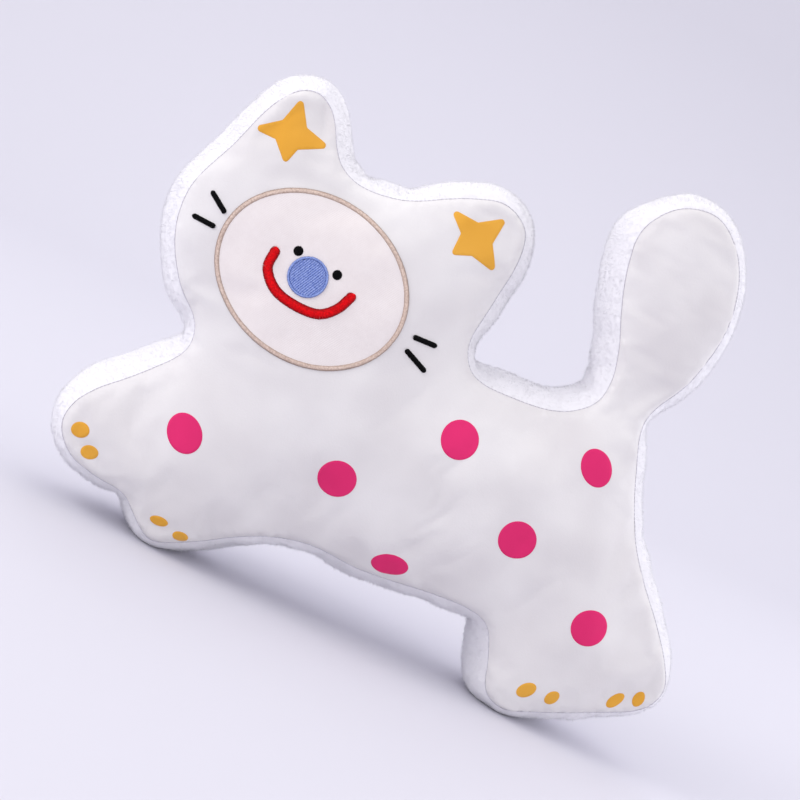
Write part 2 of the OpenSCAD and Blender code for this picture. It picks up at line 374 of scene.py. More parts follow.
def band_faces(run):
    """The band's squares along a run of seam points."""
    return [(j * COUNT + b, j * COUNT + a, (j + 1) * COUNT + a, (j + 1) * COUNT + b)
            for j in range(ROWS) for a, b in zip(run[:-1], run[1:])]


whole_run = np.arange(COUNT + 1) % COUNT
front_faces = panel_skin_faces(0, FRONT_START, False)
back_faces = panel_skin_faces(BACK_SEAM, BACK_START, True)
skin_faces = front_faces + back_faces + band_faces(whole_run)


def mesh_object(name, points, faces):
    """A smooth-shaded mesh object in the scene."""
    mesh = bpy.data.meshes.new(name)
    mesh.from_pydata([tuple(p) for p in points], [], [tuple(int(v) for v in f) for f in faces])
    mesh.update()
    mesh.shade_smooth()
    made = bpy.data.objects.new(name, mesh)
    bpy.context.scene.collection.objects.link(made)
    return made


def points_of(mesh, kind="co"):
    """A mesh's vertex places, or another vector that each vertex has, as an array."""
    values = np.zeros(len(mesh.vertices) * 3)
    mesh.vertices.foreach_get(kind, values)
    return values.reshape(-1, 3)


def normals_of(mesh):
    """A mesh's vertex normals as an array."""
    return points_of(mesh, "normal")


def set_points(thing, places):
    """Moves a mesh's vertices to new places."""
    thing.data.vertices.foreach_set("co", np.asarray(places, float).ravel())
    thing.data.update()


cushion = mesh_object("cushion_skin", skin, skin_faces)
print("skin of", len(skin), "points and", len(skin_faces), "faces")

# %% [markdown]
# Filling the skin is a cloth simulation. The two seams are pinned, because a seam of four
# layers hardly stretches. The cloth is cut a little larger than the skin and air pressure
# stands for the fibre, so the fabric rounds out between the seams and gathers along them in
# the soft puckers that a stuffed toy has. Gravity is off: the fibre carries the cloth.

# %% Stuffing by cloth simulation
PRESSURE = 4.0
LOOSE_FIT = -0.012       # shrinkage; below zero, the cloth is this share too large
FRAMES = 16
MOST_MOVE = 9 * MM       # no point may end further than this from where it was


def stuff(thing, pinned):
    """Inflates a closed mesh with its pinned points held, and returns the new places."""
    group = thing.vertex_groups.new(name="seam")
    group.add([int(i) for i in pinned], 1.0, "REPLACE")
    cloth = thing.modifiers.new("stuffing", "CLOTH")
    cloth.settings.vertex_group_mass = group.name
    cloth.settings.quality = 4
    cloth.settings.mass = 0.3
    cloth.settings.air_damping = 5
    cloth.settings.tension_stiffness = 20
    cloth.settings.compression_stiffness = 20
    cloth.settings.shear_stiffness = 8
    cloth.settings.bending_stiffness = 1.5
    cloth.settings.tension_damping = 15
    cloth.settings.compression_damping = 15
    cloth.settings.use_pressure = True
    cloth.settings.uniform_pressure_force = PRESSURE
    cloth.settings.shrink_min = LOOSE_FIT
    cloth.settings.effector_weights.gravity = 0
    cloth.collision_settings.use_collision = False
    cloth.point_cache.frame_start = 1
    cloth.point_cache.frame_end = FRAMES
    scene = bpy.context.scene
    for moment in range(1, FRAMES + 1):
        scene.frame_set(moment)
        bpy.context.view_layer.update()
    evaluated = thing.evaluated_get(bpy.context.evaluated_depsgraph_get())
    places = points_of(evaluated.data)
    thing.modifiers.remove(cloth)
    scene.frame_set(1)
    return places


move = stuff(cushion, seam_rows) - skin
size = np.linalg.norm(move, axis=1)[:, None] + 1e-9
print("cloth moved in mm: mean", round(size.mean() / MM, 2), "most", round(size.max() / MM, 2))
skin = skin + move / size * MOST_MOVE * np.tanh(size / MOST_MOVE)

# %% [markdown]
# Fibre never fills a skin evenly. It leaves broad soft lumps a few centimetres across, and a
# hollow where a narrow lobe is hard to reach, as beside the star on the near ear.

# %% Uneven stuffing
LUMP_ACROSS = 62 * MM
LUMP_RISE = 2.2 * MM
HOLLOW_FROM_STAR = np.array([20, 20]) * MM
HOLLOW_ACROSS = np.array([13, 24]) * MM
HOLLOW_TURN = math.radians(12)
HOLLOW_DEPTH = 8 * MM


def middle_of(node):
    """The middle of a CAD node as (x, z)."""
    low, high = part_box(node)
    return np.array([(low.x + high.x) / 2, (low.z + high.z) / 2])


lumps = np.array([noise.fractal(Vector(p / LUMP_ACROSS), 0.5, 2.0, 2) for p in skin])
off = skin[:, ::2] - middle_of("left_ear_star") - HOLLOW_FROM_STAR
cosine, sine = math.cos(HOLLOW_TURN), math.sin(HOLLOW_TURN)
off = np.stack([cosine * off[:, 0] + sine * off[:, 1], cosine * off[:, 1] - sine * off[:, 0]], 1)
hollow = HOLLOW_DEPTH * np.exp(-((off / HOLLOW_ACROSS) ** 2).sum(1)) * (skin[:, 1] < 0)
free = np.ones(len(skin))
free[seam_rows] = 0
set_points(cushion, skin)
skin += (free * (LUMP_RISE * lumps - hollow))[:, None] * normals_of(cushion.data)
print("lumps in mm: from", round(lumps.min() * LUMP_RISE / MM, 1), "to",
      round(lumps.max() * LUMP_RISE / MM, 1))

# %% [markdown]
# Two things follow from use. The paws that carry the cushion flatten on the floor, so what
# would lie below the floor is pressed up to it. And a seam sits in a groove: the stitching
# pulls the edge of every panel inwards, which is what draws the thin line round the cat.

# %% Flat soles and sunk seams
SEAM_SINK = 2.4 * MM
BESIDE_SINK = 0.6 * MM

skin[:, 2] = np.maximum(skin[:, 2], 0)
set_points(cushion, skin)
inwards = -normals_of(cushion.data)
skin[seam_rows] += SEAM_SINK * inwards[seam_rows]
beside = np.concatenate([seam_rows[:COUNT] + COUNT, seam_rows[COUNT:] - COUNT])
skin[beside] += BESIDE_SINK * inwards[beside]
skin[:, 2] = np.maximum(skin[:, 2], 0)
set_points(cushion, skin)
skin_normals = normals_of(cushion.data)
print("skin size in mm:", [round(v / MM) for v in np.ptp(skin, axis=0)])

# %% [markdown]
# The one closed skin is now cut back into the pieces that were sewn: two panels and two
# strips. Each is subdivided once, which rounds off the cloth's facets.

# %% The sewn pieces
def add_piece(name, mesh, replaced=()):
    """A finished piece that rides on the cushion's body and may stand for CAD nodes."""
    piece = mesh_object(name, *mesh)
    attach(piece, BODY)
    if replaced:
        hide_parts(*replaced)
    return piece


def subdivide(piece, edge_kept):
    """Makes a piece's mesh once finer and rounder, with its open edge smoothed or kept."""
    finer = piece.modifiers.new("finer", "SUBSURF")
    finer.levels = finer.render_levels = 1
    finer.boundary_smooth = "PRESERVE_CORNERS" if edge_kept else "ALL"
    evaluated = piece.evaluated_get(bpy.context.evaluated_depsgraph_get())
    mesh = bpy.data.meshes.new_from_object(evaluated)
    piece.modifiers.clear()
    piece.data = mesh
    mesh.shade_smooth()


def cut_piece(name, faces, node):
    """One sewn piece of the skin, subdivided, standing for a CAD node."""
    used = np.unique([v for f in faces for v in f])
    number = {int(v): i for i, v in enumerate(used)}
    cut = [[number[int(v)] for v in f] for f in faces]
    piece = add_piece(name, (skin[used], cut), [node])
    subdivide(piece, True)
    return piece


front_panel = cut_piece("front_panel_velvet", front_faces, "front_panel")
back_panel = cut_piece("back_panel_plush", back_faces, "back_panel")
upper_strip = cut_piece("side_strip_upper_plush", band_faces(upper_run), "side_strip_upper")
lower_strip = cut_piece("side_strip_lower_plush", band_faces(lower_run), "side_strip_lower")
bpy.data.objects.remove(cushion)
print("faces:", [len(p.data.polygons) for p in (front_panel, back_panel, upper_strip, lower_strip)])

# %% [markdown]
# What is printed and sewn on the front follows its dome. Every mark starts the same way: its
# outline is read as it is seen from the front, and flat points are dropped onto the panel. A
# shrinkwrap modifier could do that too, but these places are needed as numbers for the threads.

# %% Finding places on the front
FACES_FRONT = -0.1       # a face looks to the front if its normal's y is below this
FROM_THE_FRONT = Vector((0, 1, 0))
TOO_NEAR = 0.1 * MM      # keeps a corner's weight finite where a point lies on it


def seen_outlines(name):
    """A node's outlines as they are seen from the front, largest first."""
    mesh = welded(name)
    front = {f for f in mesh.faces if f.normal.y < FACES_FRONT}
    return sorted(borders_of(mesh, front), key=lambda loop: -np.ptp(loop, axis=0).max())


front_points = points_of(front_panel.data)
front_normals = normals_of(front_panel.data)
front_polygons = [tuple(p.vertices) for p in front_panel.data.polygons]
front_tree = BVHTree.FromPolygons([Vector(p) for p in front_points], front_polygons)


def front_at(points):
    """Places and normals of the front panel where flat (x, z) points meet it."""
    places, normals = [], []
    for x, z in points:
        place, _, face, _ = front_tree.ray_cast(Vector((x, -1, z)), FROM_THE_FRONT)
        corners = list(front_polygons[face])
        far = np.linalg.norm(front_points[corners] - np.array(place), axis=1)
        normal = (front_normals[corners] / (far[:, None] + TOO_NEAR)).sum(0)
        places.append(np.array(place))
        normals.append(normal / np.linalg.norm(normal))
    return np.array(places), np.array(normals)


print("the front has", len(front_polygons), "faces to lay marks on")

# %% [markdown]
# A flat mark becomes a patch: its outline is evenly spaced, its inside is filled with triangles
# as the panels were, and both are laid on the dome. Its edge goes a little under the velvet.

# %% Patches laid on the front
EDGE_OUT = 0.4 * MM      # a patch's edge lies this far outside its outline
EDGE_IN = 0.3 * MM       # and its flat top ends this far inside
FEWEST_POINTS = 12


def moved_out(loop, by):
    """A closed loop moved outwards in its own plane."""
    run = np.roll(loop, -1, 0) - np.roll(loop, 1, 0)
    run /= np.linalg.norm(run, axis=1)[:, None]
    return loop + by * np.stack([run[:, 1], -run[:, 0]], 1)


def even_loop(loop, gap):
    """A polygon's corners and sides as evenly spaced points, its corners kept nearly sharp."""
    closed = np.vstack([loop, loop[:1]])
    along = distance_along(closed)
    count = max(FEWEST_POINTS, round(along[-1] / gap))
    return points_at(np.arange(count) * along[-1] / count, along, closed)


def laid_patch(loop, gap, lift, tuck):
    """Points and faces of a patch on the front: its middle lifted, its edge tucked in."""
    edge = moved_out(loop, EDGE_OUT)
    inner, faces = fill_outline(moved_out(loop, -EDGE_IN), gap)
    count = len(loop)
    places, normals = front_at(np.vstack([edge, inner]))
    lifts = np.full(len(places), lift)
    lifts[:count] = -tuck
    rim = [(i, (i + 1) % count, count + (i + 1) % count, count + i) for i in range(count)]
    shifted = [tuple(v + count for v in face) for face in faces]
    return places + lifts[:, None] * normals, rim + shifted


def joined_meshes(parts):
    """Several (points, faces) pairs as one."""
    points, faces = [], []
    for new_points, new_faces in parts:
        first = sum(len(p) for p in points)
        points.append(new_points)
        faces += [tuple(v + first for v in face) for face in new_faces]
    return np.vstack(points), faces


dot = seen_outlines("body_dots")[0]
print("the largest dot is", np.round(np.ptp(dot, axis=0) / MM, 1), "mm, laid on the dome")

# %% [markdown]
# The dots, stars and toe marks are dye in the pile, not cloth on top of it. Each is a patch of
# the same velvet that hugs the panel a third of a millimetre above it, with its edge tucked
# in, so that it shows no rim.

# %% Prints
PRINT_LIFT = 0.3 * MM
PRINT_GAP = 1.8 * MM
EDGE_STEP = 1 * MM


def printed(node):
    """A printed mark, or several, laid on the front panel."""
    loops = [even_loop(loop, EDGE_STEP) for loop in seen_outlines(node)]
    parts = [laid_patch(loop, PRINT_GAP, PRINT_LIFT, 2 * PRINT_LIFT) for loop in loops]
    print(node, "has", len(loops), "marks")
    return add_piece(node + "_dye", joined_meshes(parts), [node])


magenta_pieces = [printed("body_dots")]
amber_nodes = ["left_ear_star", "right_ear_star", "front_paw_toes", "hind_paw_toes"]
amber_pieces = [printed(node) for node in amber_nodes]

# %% [markdown]
# The face is a patch of brushed knit laid on the velvet before the embroidery. It is stretched
# smooth in the hoop, so it only follows the dome. The stiff sheet behind it lies just inside
# the panel, where the needle went through all three.

# %% Face patch and its backing
FACE_LIFT = 0.8 * MM
BACKING_DEPTH = 1.3 * MM
SHEET_STEP = 2 * MM
SHEET_GAP = 3 * MM


def laid_sheet(name, node, lift):
    """A flat sheet stretched over the dome of the front."""
    loop = even_loop(seen_outlines(node)[0], SHEET_STEP)
    sheet = add_piece(name, laid_patch(loop, SHEET_GAP, lift, -lift), [node])
    return sheet


face_patch = laid_sheet("face_patch_knit", "face_patch", FACE_LIFT)
backing = laid_sheet("embroidery_backing_sheet", "embroidery_backing",
                     -BACKING_DEPTH)

# %% [markdown]
# Satin stitch is a row of threads side by side, each crossing the shape from edge to edge and
# arching over the ones before it. Every thread here is a thin tube of its own, so the light
# runs along it as it does on rayon. Real embroidery thread is 0.4 mm thick. These lie as far
# apart, and are drawn a little thicker so that no velvet shows between them.

# %% Threads
THREAD = 0.42 * MM       # from one thread to the next
THREAD_RADIUS = THREAD / 2 * 1.3
THREAD_SIDES = 5
ARCH_POWER = 2.4         # 2 is a round arch, and more is flatter on top
STITCH_POINTS = 7
stitch_share = np.linspace(0, 1, STITCH_POINTS)
stitch_rise = 1 - np.abs(2 * stitch_share - 1) ** ARCH_POWER


def thread_tubes(paths, ups, radius):
    """Round threads along many paths with equally many points each, as one mesh."""
    run = np.gradient(paths, axis=1)
    side = np.cross(run, ups)
    side /= np.linalg.norm(side, axis=2)[..., None]
    top = np.cross(side, run)
    top /= np.linalg.norm(top, axis=2)[..., None]
    turn = np.arange(THREAD_SIDES) * 2 * math.pi / THREAD_SIDES
    ring = np.cos(turn)[:, None] * side[:, :, None] + np.sin(turn)[:, None] * top[:, :, None]
    points = (paths[:, :, None] + radius * ring).reshape(-1, 3)
    count, length = paths.shape[:2]
    faces = []
    for thread in range(count):
        first = thread * length * THREAD_SIDES
        for k in range(length - 1):
            low = first + k * THREAD_SIDES
            for a in range(THREAD_SIDES):
                b = (a + 1) % THREAD_SIDES
                faces.append((low + a, low + b, low + b + THREAD_SIDES, low + a + THREAD_SIDES))
        faces.append(tuple(first + a for a in reversed(range(THREAD_SIDES))))
        faces.append(tuple(first + (length - 1) * THREAD_SIDES + a for a in range(THREAD_SIDES)))
    return points, faces


def laid_threads(starts, ends, base, arch):
    """Threads on the front from flat starts to flat ends, arched over it."""
    flat = starts[:, None] + stitch_share[:, None] * (ends - starts)[:, None]
    places, normals = front_at(flat.reshape(-1, 2))
    places = places.reshape(len(starts), STITCH_POINTS, 3)
    normals = normals.reshape(places.shape)
    lift = base + stitch_rise * np.broadcast_to(arch, len(starts))[:, None]
    return thread_tubes(places + lift[..., None] * normals, normals, THREAD_RADIUS)


def thread_piece(name, threads, nodes):
    """A piece made of threads, which knows how near each point is to its thread's crest."""
    piece = add_piece(name, threads, nodes)
    crest = np.repeat(stitch_rise, THREAD_SIDES)
    repeats = len(piece.data.vertices) // len(crest)
    # the threads' material also uses this share as the mask for painted shade towards the needle
    # holes
    attribute = piece.data.attributes.new("crest", "FLOAT", "POINT")
    attribute.data.foreach_set("value", np.tile(crest, repeats))
    return piece


print("threads lie", THREAD / MM, "mm apart, and each has", STITCH_POINTS, "points")

# %% [markdown]
# A row of satin needs the line along its middle and its width. A mark with two round ends is
# cut in two at those ends, and the middle line runs halfway between its sides. A ring's line
# lies halfway between its two edges. No needle lands exactly, so each thread's ends are uneven.

# %% Rows of satin stitch
NEEDLE_ERROR = 0.12 * MM
CENTRE_STEP = 0.5 * MM
END_STEPS = 6            # steps over which a shape's round end is recognised
END_SPREAD = 12          # how many times its turning is averaged
CENTRE_POINTS = 60
RING_POINTS = 180


def satin(line, width, base, arch, closed):
    """Satin stitch across a centre line, tapering to round ends unless the line is closed."""
    if closed:
        line = np.vstack([line, line[:1]])
    along = distance_along(line)
    count = round(along[-1] / THREAD)
    want = (np.arange(count) + 0.5) * along[-1] / count
    centre = points_at(want, along, line)
    run = np.gradient(centre, axis=0)
    run /= np.linalg.norm(run, axis=1)[:, None]
    across = np.stack([run[:, 1], -run[:, 0]], 1)
    half = np.full(count, width / 2)
    if not closed:
        to_end = np.minimum(np.minimum(want, along[-1] - want), width / 2)
        half = np.sqrt((width / 2) ** 2 - (width / 2 - to_end) ** 2)
    uneven = rng.uniform(-NEEDLE_ERROR, NEEDLE_ERROR, (count, 2))
    starts = centre - (half + uneven[:, 0])[:, None] * across
    ends = centre + (half + uneven[:, 1])[:, None] * across
    return laid_threads(starts, ends, base, arch * np.sqrt(half / half.max()))


def centre_line(loop):
    """The line along the middle of a long shape with two round ends."""
    loop = even_loop(loop, CENTRE_STEP)
    count = len(loop)
    run = np.roll(loop, -END_STEPS, 0) - loop
    back = loop - np.roll(loop, END_STEPS, 0)
    sharpness = run[:, 0] * back[:, 1] - run[:, 1] * back[:, 0]
    turning = smooth_round(-sharpness, END_SPREAD)
    first = int(np.argmax(turning))
    away = np.minimum((np.arange(count) - first) % count, (first - np.arange(count)) % count)
    second = int(np.argmax(np.where(away > count / 4, turning, -1)))
    one_way = [loop[(first + k) % count] for k in range((second - first) % count + 1)]
    other = [loop[(first - k) % count] for k in range((first - second) % count + 1)]
    share = np.linspace(0, 1, CENTRE_POINTS)
    sides = [points_at(share, np.linspace(0, 1, len(side)), np.array(side))
             for side in (one_way, other)]
    return (sides[0] + sides[1]) / 2


def ring_line(node):
    """The middle line and the width of a closed ring of stitches."""
    outer, inner = (even_loop(loop, EDGE_STEP) for loop in seen_outlines(node)[:2])
    middle = outer.mean(0)
    turn = np.linspace(-math.pi, math.pi, RING_POINTS + 1)[:-1]
    reach = []
    for loop in (outer, inner):
        angle = np.arctan2(loop[:, 1] - middle[1], loop[:, 0] - middle[0])
        order = np.argsort(angle)
        far = np.linalg.norm(loop - middle, axis=1)
        reach.append(np.interp(turn, angle[order], far[order], period=2 * math.pi))
    mean = (reach[0] + reach[1]) / 2
    line = middle + mean[:, None] * np.stack([np.cos(turn), np.sin(turn)], 1)
    return line, float((reach[0] - reach[1]).mean())


print("a needle lands within", NEEDLE_ERROR / MM, "mm of a shape's edge")

# %% [markdown]
# The border holds the raw edge of the patch. The smile is sewn over a core of thread, which
# makes it stand up. The whiskers are narrow, so they lie flatter.

# %% Border, smile and whiskers
def satin_piece(node, base, arch):
    """A whole mark in satin stitch that stands for its CAD node."""
    outline = seen_outlines(node)[0]
    line = centre_line(outline)
    length = np.linalg.norm(np.diff(line, axis=0), axis=1).sum()
    area = area_inside(outline)
    width = area / (length - (1 - math.pi / 4) * area / length)
    print(node, "is", round(length / MM, 1), "by", round(width / MM, 1), "mm")
    return thread_piece(node + "_satin", satin(line, width, base, arch, False), [node])


def ring_piece(node, base, arch):
    """A ring in satin stitch that stands for its CAD node."""
    line, width = ring_line(node)
    print(node, "is", round(width / MM, 1), "mm wide")
    return thread_piece(node + "_satin", satin(line, width, base, arch, True), [node])


border = ring_piece("face_patch_border", 0.3 * MM, 1.1 * MM)
smile = satin_piece("mouth", 0.5 * MM, 1.9 * MM)
whisker_nodes = [side + "_whisker" for side in
                 ("left_upper", "left_lower", "right_upper", "right_lower")]
whiskers = [satin_piece(node, 0.2 * MM, 1.2 * MM) for node in whisker_nodes]

# %% [markdown]
# An eye is small enough for one row of threads to cross the whole disc. The longest threads, in
# its middle, stand up most, so it is a low dome.

# %% Eyes
EYE_BASE = 0.6 * MM
EYE_RISE = 1.2 * MM


def disc_of(node):
    """The middle and the radius of a round mark, and the heights of the threads across it."""
    outline = seen_outlines(node)[0]
    middle = outline.mean(0)
    radius = np.linalg.norm(outline - middle, axis=1).mean()
    return middle, radius, np.arange(-radius + THREAD / 2, radius, THREAD)


def eye_piece(node):
    """A round eye: parallel threads over the whole disc."""
    middle, radius, heights = disc_of(node)
    half = np.sqrt(radius ** 2 - heights ** 2)
    starts = middle + np.stack([-half, heights], 1)
    ends = middle + np.stack([half, heights], 1)
    threads = laid_threads(starts, ends, EYE_BASE, EYE_RISE * half / radius)
    return thread_piece(node + "_satin", threads, [node])


eyes = [eye_piece("left_eye"), eye_piece("right_eye")]
print("each eye is", round(2 * disc_of("left_eye")[1] / MM, 1), "mm across")

# %% [markdown]
# The nose is too wide for satin, because threads that long would snag. It is filled with rows
# of short stitches instead, each row set off from the last like bricks, and a ring of satin
# covers their ends.

# %% Nose
FILL_STITCH = 3.4 * MM
FILL_TURN = math.radians(38)
FILL_UNEVEN = 0.2 * MM
BRICK_ROWS = 4           # rows before the stitches line up again


def nose_rows(node):
    """The fill stitches of the nose, as flat starts and ends."""
    middle, radius, heights = disc_of(node)
    along = np.array([math.cos(FILL_TURN), math.sin(FILL_TURN)])
    across = np.array([-along[1], along[0]])
    starts, ends = [], []
    for row, height in enumerate(heights):
        half = math.sqrt(radius ** 2 - height ** 2)
        cuts = np.arange(-radius - FILL_STITCH, radius + FILL_STITCH, FILL_STITCH)
        set_off = row % BRICK_ROWS * FILL_STITCH / BRICK_ROWS
        cuts = cuts + set_off + rng.uniform(-FILL_UNEVEN, FILL_UNEVEN)
        cuts = np.concatenate([[-half], cuts[(cuts > -half) & (cuts < half)], [half]])
        for low, high in zip(cuts[:-1], cuts[1:]):
            starts.append(middle + low * along + height * across)
            ends.append(middle + high * along + height * across)
    return np.array(starts), np.array(ends)


nose_starts, nose_ends = nose_rows("nose_fill")
nose_fill = thread_piece("nose_fill_stitches",
                         laid_threads(nose_starts, nose_ends, 0.95 * MM, 0.35 * MM),
                         ["nose_fill"])
nose_rim = ring_piece("nose_rim", 0.6 * MM, 1.5 * MM)
print("nose fill of", len(nose_starts), "stitches")

# %% [markdown]
# The seams are sewn by machine: one stitch every 3 mm, sunk in the groove. The gap that the
# fibre went in by is closed by hand with a row of stitches across the back seam.

# %% Seam threads
SEAM_STITCH = 3.1 * MM
SEAM_STITCH_LENGTH = 2.5 * MM
SEAM_THREAD_RADIUS = 0.3 * MM
SEAM_STITCH_RISE = 0.35 * MM
HAND_THREAD_RADIUS = 0.35 * MM
HAND_STITCH_RISE = 0.5 * MM


def seam_thread(name, node, ring):
    """A row of machine stitches along one seam of the skin."""
    closed_ring = np.append(ring, ring[0])
    closed, ups = skin[closed_ring], skin_normals[closed_ring]
    along = distance_along(closed)
    count = round(along[-1] / SEAM_STITCH)
    share = np.linspace(0, SEAM_STITCH_LENGTH, STITCH_POINTS)
    want = np.arange(count)[:, None] * along[-1] / count + share
    paths, over = points_at(want, along, closed), points_at(want, along, ups)
    rise = SEAM_STITCH_RISE * np.sin(math.pi * stitch_share)
    tubes = thread_tubes(paths + rise[:, None] * over, over, SEAM_THREAD_RADIUS)
    print(name, "has", count, "stitches")
    return thread_piece(name, tubes, [node])


def middles_of(name):
    """The middle of each separate solid in a CAD node."""
    mesh = welded(name)
    left = set(mesh.verts)
    middles = []
    while left:
        found, queue = [], [left.pop()]
        while queue:
            here = queue.pop()
            found.append(np.array(here.co))
            near = {e.other_vert(here) for e in here.link_edges} & left
            left -= near
            queue += near
        middles.append((np.min(found, axis=0) + np.max(found, axis=0)) / 2)
    return sorted(middles, key=lambda middle: middle[0])


def closing_row():
    """Hand stitches across the back seam, one at each of the CAD node's stitches."""
    middles = middles_of("closing_stitches")
    ring = BACK_SEAM + np.arange(COUNT)
    nearest = [int(ring[np.argmin(np.linalg.norm(skin[ring][:, ::2] - m[::2], axis=1))])
               for m in middles]
    reach = np.linspace(-1, 1, STITCH_POINTS)
    place, up = skin[nearest], skin_normals[nearest]
    across = np.cross(up, tangents_3d[np.array(nearest) - BACK_SEAM])
    half = (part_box("closing_stitches")[1].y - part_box("closing_stitches")[0].y) / 2
    lift = SEAM_SINK / 2 * reach ** 2 + HAND_STITCH_RISE
    paths = place[:, None] + half * reach[:, None] * across[:, None]
    paths = paths + lift[:, None] * up[:, None]
    print("closed by", len(middles), "stitches")
    tubes = thread_tubes(paths, np.repeat(up[:, None], STITCH_POINTS, 1), HAND_THREAD_RADIUS)
    return thread_piece("closing_stitches_thread", tubes, ["closing_stitches"])


tangents_3d = np.stack([tangent[:, 0], np.zeros(COUNT), tangent[:, 1]], 1)
seam_threads = [
    seam_thread("front_seam_stitches", "front_seam_thread", np.arange(COUNT)),
    seam_thread("back_seam_stitches", "back_seam_thread", BACK_SEAM + np.arange(COUNT)),
    closing_row(),
]

# %% [markdown]
# The fibre fills the skin to a few millimetres under the fabric. It is never seen, but it is
# what the fabric rests on, so it has the skin's own shape.

# %% Fibre filling
FILLING_DEPTH = 3.5 * MM
filling = add_piece("fibre_filling_core", (skin - FILLING_DEPTH * skin_normals, skin_faces),
                    ["fibre_filling"])
print("the filling lies", FILLING_DEPTH / MM, "mm under the fabric")

# %% [markdown]
# The band and the back are plush: a pile of soft fibres so fine and dense that the surface
# looks smooth, and only its edge against the light shows single hairs. So the surface itself is
# raised in small soft lumps, where fibres cling together, and fine hairs are set thinly on it.

# %% Pile
LUMP_SIZE = 5 * MM
LUMP_HEIGHT = 0.45 * MM
HAIR_LENGTH = 2.6 * MM
HAIR_WIDTH = 0.3 * MM
HAIR_ROOT = 0.4 * MM     # how deep a hair starts under the surface
HAIR_LEAN = 0.9
HAIR_JITTER = 0.5
HAIRS_PER_CM2 = 30       # only the stray ones: real pile has hundreds that lie close
MOST_HAIRS = 40000
NAP = (0.2, 0, -1)       # the pile is stroked downwards


def unit(vectors):
    """Vectors scaled to length 1."""
    return vectors / np.linalg.norm(vectors, axis=1)[:, None]


def random_places(mesh, count):
    """Even random places on a mesh, with the smooth normals there."""
    mesh.calc_loop_triangles()
    places = points_of(mesh)
    normals = normals_of(mesh)
    corners = np.array([t.vertices for t in mesh.loop_triangles])
    a, b, c = (places[corners[:, k]] for k in range(3))
    area = np.linalg.norm(np.cross(b - a, c - a), axis=1)
    chosen = rng.choice(len(area), count, p=area / area.sum())
    weights = rng.dirichlet((1, 1, 1), count)
    root = sum(weights[:, k:k + 1] * places[corners[chosen, k]] for k in range(3))
    up = sum(weights[:, k:k + 1] * normals[corners[chosen, k]] for k in range(3))
    return root, unit(up)


def raise_lumps(piece):
    """Raises a fine surface in small soft lumps."""
    subdivide(piece, False)
    places, normals = points_of(piece.data), normals_of(piece.data)
    height = np.array([noise.fractal(Vector(p / LUMP_SIZE), 0.6, 2.0, 3) for p in places])
    set_points(piece, places + LUMP_HEIGHT * height[:, None] * normals)


def hairs(name, ground):
    """Fine hairs thinly over a piece of plush, leaning along its nap, with none underfoot."""
    area = sum(p.area for p in ground.data.polygons)
    count = min(MOST_HAIRS, int(area / MM ** 2 / 100 * HAIRS_PER_CM2))
    root, up = random_places(ground.data, count)
    clear = root[:, 2] > HAIR_LENGTH
    root, up, count = root[clear], up[clear], int(clear.sum())
    lean = np.asarray(NAP) + rng.normal(0, HAIR_JITTER, (count, 3))
    lean = unit(lean - (lean * up).sum(1)[:, None] * up)
    stand = unit(up + HAIR_LEAN * rng.uniform(0.4, 1.6, count)[:, None] * lean)
    side = unit(np.cross(stand, up))
    other = np.cross(stand, side)
    around = [math.cos(t) * side + math.sin(t) * other for t in np.arange(3) * 2 * math.pi / 3]
    tip = root + HAIR_LENGTH * rng.uniform(0.5, 1.15, count)[:, None] * stand
    points = [root - HAIR_ROOT * up + HAIR_WIDTH / 2 * a for a in around] + [tip]
    first = 4 * np.arange(count)
    faces = [(f + a, f + b, f + 3) for f in first for a, b in ((0, 1), (1, 2), (2, 0))]
    print(name, "has", count, "hairs")
    return add_piece(name, (np.stack(points, 1).reshape(-1, 3), faces))


for ground in (upper_strip, lower_strip, back_panel):
    raise_lumps(ground)
pile_pieces = [
    hairs("side_strip_upper_pile", upper_strip),
    hairs("side_strip_lower_pile", lower_strip),
    hairs("back_panel_pile", back_panel),
]

# %% [markdown]

# %% [markdown]
# Materials are built from a few shader nodes each. Two helpers are enough: one turns a colour
# as a screen shows it into the linear numbers that the renderer mixes, and one adds a node.

# %% Helpers for materials
def linear(hex_colour):
    """An sRGB hex colour as linear RGBA."""
    values = [int(hex_colour[k:k + 2], 16) / 255 for k in (1, 3, 5)]
    return [v / 12.92 if v < 0.04045 else ((v + 0.055) / 1.055) ** 2.4 for v in values] + [1]


def add_node(tree, kind, settings, links):
    """Adds a shader node, sets its sockets, settings and colour stops, and links its inputs."""
    node = tree.nodes.new(kind)
    for name, value in settings.items():
        if name in node.inputs:
            node.inputs[name].default_value = value
        elif name == "stops":
            for stop, (position, colour) in zip(node.color_ramp.elements, value):
                stop.position = position
                stop.color = linear(colour)
        else:
            setattr(node, name, value)
    for name, source in links.items():
        tree.links.new(source, node.inputs[name])
    return node


def new_material(name):
    """An empty material with only the object's own coordinates; its output comes with its shader."""
    material = bpy.data.materials.new(name)
    material.use_nodes = True
    tree = material.node_tree
    tree.nodes.clear()
    place = add_node(tree, "ShaderNodeTexCoord", {}, {}).outputs["Object"]
    return material, tree, place


def finish_material(tree, shader):
    """Links a shader to the material's output."""
    add_node(tree, "ShaderNodeOutputMaterial", {}, {"Surface": shader.outputs["BSDF"]})


def per_mm(size_mm):
    """The scale of a noise texture whose blobs are this many millimetres across."""
    return 1000 / size_mm


def wear(pieces, material):
    """Gives a material to pieces."""
    for piece in pieces:
        piece.data.materials.clear()
        piece.data.materials.append(material)
    print(material.name, "on", ", ".join(piece.name for piece in pieces))


# %% [markdown]
# Velvet is a short dense pile cut level. It scatters light at grazing angles, so a dome of it
# has a pale rim, and it shows soft cloudy patches where the pile was stroked another way. The
# dyed marks are the same velvet in another colour.

